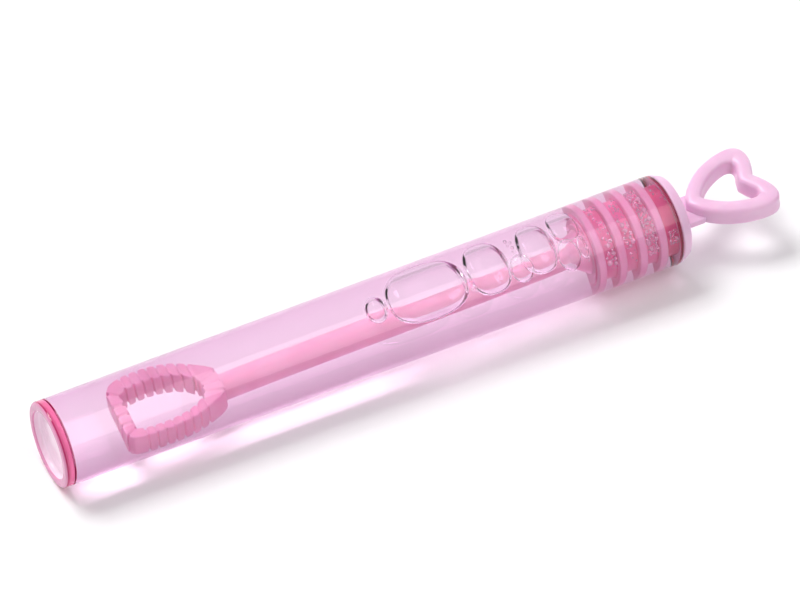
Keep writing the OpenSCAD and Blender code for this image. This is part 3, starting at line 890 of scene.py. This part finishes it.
def make_floor():
    """A pale floor, tipped by a hair so that the whole of the tapered tube lies on it."""
    tilt = (MOUTH_R - BASE_R) / (MOUTH - TUBE_START)
    centre = (MOUTH + BASE_X) * MM
    size = 3.0
    mesh = bpy.data.meshes.new("floor")
    corners = [(-size, -size), (size, -size), (size, size), (-size, size)]
    mesh.from_pydata([(x, y, -(x - centre) * tilt) for x, y in corners], [], [(0, 1, 2, 3)])
    floor = bpy.data.objects.new("floor", mesh)
    bpy.context.scene.collection.objects.link(floor)
    mesh.materials.append(white_floor(share=0.04, share_in_glass=0.4))


# How far rays that show no background still see the plain white one
OTHER_RAYS = 0.5

# Distances in metres between which the floor turns plain white
WHITE_FROM, WHITE_TO = 0.08, 0.3


def math_value(nodes, links, operation, first, second):
    """The value of a math node that is fed by two outputs."""
    node = nodes.new("ShaderNodeMath")
    node.operation = operation
    links.new(first, node.inputs[0])
    links.new(second, node.inputs[1])
    return node.outputs["Value"]


def seen_directly(nodes, links):
    """How far a ray sees the plain white background, from OTHER_RAYS to 1.

    It is 1 for rays from the camera, off gloss or through glass, and
    OTHER_RAYS for the rest, which carry the light on matt surfaces.
    """
    path = nodes.new("ShaderNodeLightPath")
    camera = nodes.new("ShaderNodeMath")
    camera.operation = "MAXIMUM"
    camera.inputs[1].default_value = OTHER_RAYS
    links.new(path.outputs["Is Camera Ray"], camera.inputs[0])
    most = camera.outputs["Value"]
    for name in ("Is Glossy Ray", "Is Transmission Ray"):
        most = math_value(nodes, links, "MAXIMUM", path.outputs[name], most)
    return most


def far_away(nodes, links):
    """0 near the object and 1 far from it, over the floor."""
    coords = nodes.new("ShaderNodeTexCoord")
    far = nodes.new("ShaderNodeVectorMath")
    far.operation = "LENGTH"
    links.new(coords.outputs["Object"], far.inputs[0])
    fade = nodes.new("ShaderNodeMapRange")
    fade.interpolation_type = "SMOOTHSTEP"
    fade.inputs["From Min"].default_value = WHITE_FROM
    fade.inputs["From Max"].default_value = WHITE_TO
    links.new(far.outputs["Value"], fade.inputs["Value"])
    return fade.outputs["Result"]


def white_floor(share, share_in_glass):
    """Pale floor; seen directly, a share of it is plain white, and all of it far from the object."""
    m, nodes, links = new_material("floor_white")
    out = nodes.new("ShaderNodeOutputMaterial")
    pale = nodes.new("ShaderNodeBsdfDiffuse")
    pale.inputs["Color"].default_value = (0.95, 0.95, 0.955, 1)
    white = nodes.new("ShaderNodeEmission")
    white.inputs["Strength"].default_value = 1.0
    path = nodes.new("ShaderNodeLightPath")
    least = nodes.new("ShaderNodeMapRange")
    least.inputs["To Min"].default_value = share
    least.inputs["To Max"].default_value = share_in_glass
    links.new(path.outputs["Is Transmission Ray"], least.inputs["Value"])
    plain = math_value(nodes, links, "MAXIMUM", far_away(nodes, links), least.outputs["Result"])
    amount = math_value(nodes, links, "MULTIPLY", seen_directly(nodes, links), plain)
    mix = nodes.new("ShaderNodeMixShader")
    links.new(amount, mix.inputs["Fac"])
    links.new(pale.outputs["BSDF"], mix.inputs[1])
    links.new(white.outputs["Emission"], mix.inputs[2])
    links.new(mix.outputs["Shader"], out.inputs["Surface"])
    return m


def make_world(level):
    """A white world, at strength 1 where it is seen directly.

    Matt surfaces get OTHER_RAYS of strength 1, and the rest of level.
    """
    world = bpy.data.worlds.new("studio")
    bpy.context.scene.world = world
    world.use_nodes = True
    nodes, links = world.node_tree.nodes, world.node_tree.links
    nodes.clear()
    out = nodes.new("ShaderNodeOutputWorld")
    shown = nodes.new("ShaderNodeBackground")
    shown.inputs["Strength"].default_value = 1.0
    light = nodes.new("ShaderNodeBackground")
    light.inputs["Strength"].default_value = level
    mix = nodes.new("ShaderNodeMixShader")
    links.new(seen_directly(nodes, links), mix.inputs["Fac"])
    links.new(light.outputs["Background"], mix.inputs[1])
    links.new(shown.outputs["Background"], mix.inputs[2])
    links.new(mix.outputs["Shader"], out.inputs["Surface"])


def make_softbox(name, from_deg, to_deg, reach, x, long, radiance):
    """A softbox that spans two angles about the X axis, counted from the near side."""
    a, b = (Vector((x, -reach * math.cos(g), reach * math.sin(g)))
            for g in (math.radians(from_deg), math.radians(to_deg)))
    up = (b - a).normalized()
    back = Vector((1, 0, 0)).cross(up)
    if back.z < 0:
        up, back = -up, -back
    data = bpy.data.lights.new(name, "AREA")
    data.shape, data.size, data.size_y = "RECTANGLE", long, (b - a).length
    data.energy = radiance * math.pi * data.size * data.size_y
    lamp = bpy.data.objects.new(name, data)
    rotation = Matrix((Vector((1, 0, 0)), up, back)).transposed()
    lamp.matrix_world = Matrix.Translation((a + b) / 2) @ rotation.to_4x4()
    bpy.context.scene.collection.objects.link(lamp)


make_camera()
make_tube()
make_base_plug()
make_spigot()
make_solution()
make_flange()
make_plug()
make_foam()
make_stem()
make_heart()
make_neck()
make_loop()
make_floor()
make_world(level=0.19)
make_softbox("softbox_near", from_deg=26.5, to_deg=87.5, reach=2.0, x=0.645, long=0.52, radiance=2.0)
make_softbox("softbox_far", from_deg=132, to_deg=108, reach=1.5, x=-0.4, long=0.9, radiance=9.9)
# Light crosses many clear faces before it leaves the tube
BOUNCES = 32
bpy.context.scene.cycles.max_bounces = BOUNCES
bpy.context.scene.cycles.transmission_bounces = BOUNCES
bpy.context.scene.cycles.transparent_max_bounces = BOUNCES
bpy.context.scene.cycles.blur_glossy = 0
bpy.context.scene.view_settings.view_transform = "Standard"
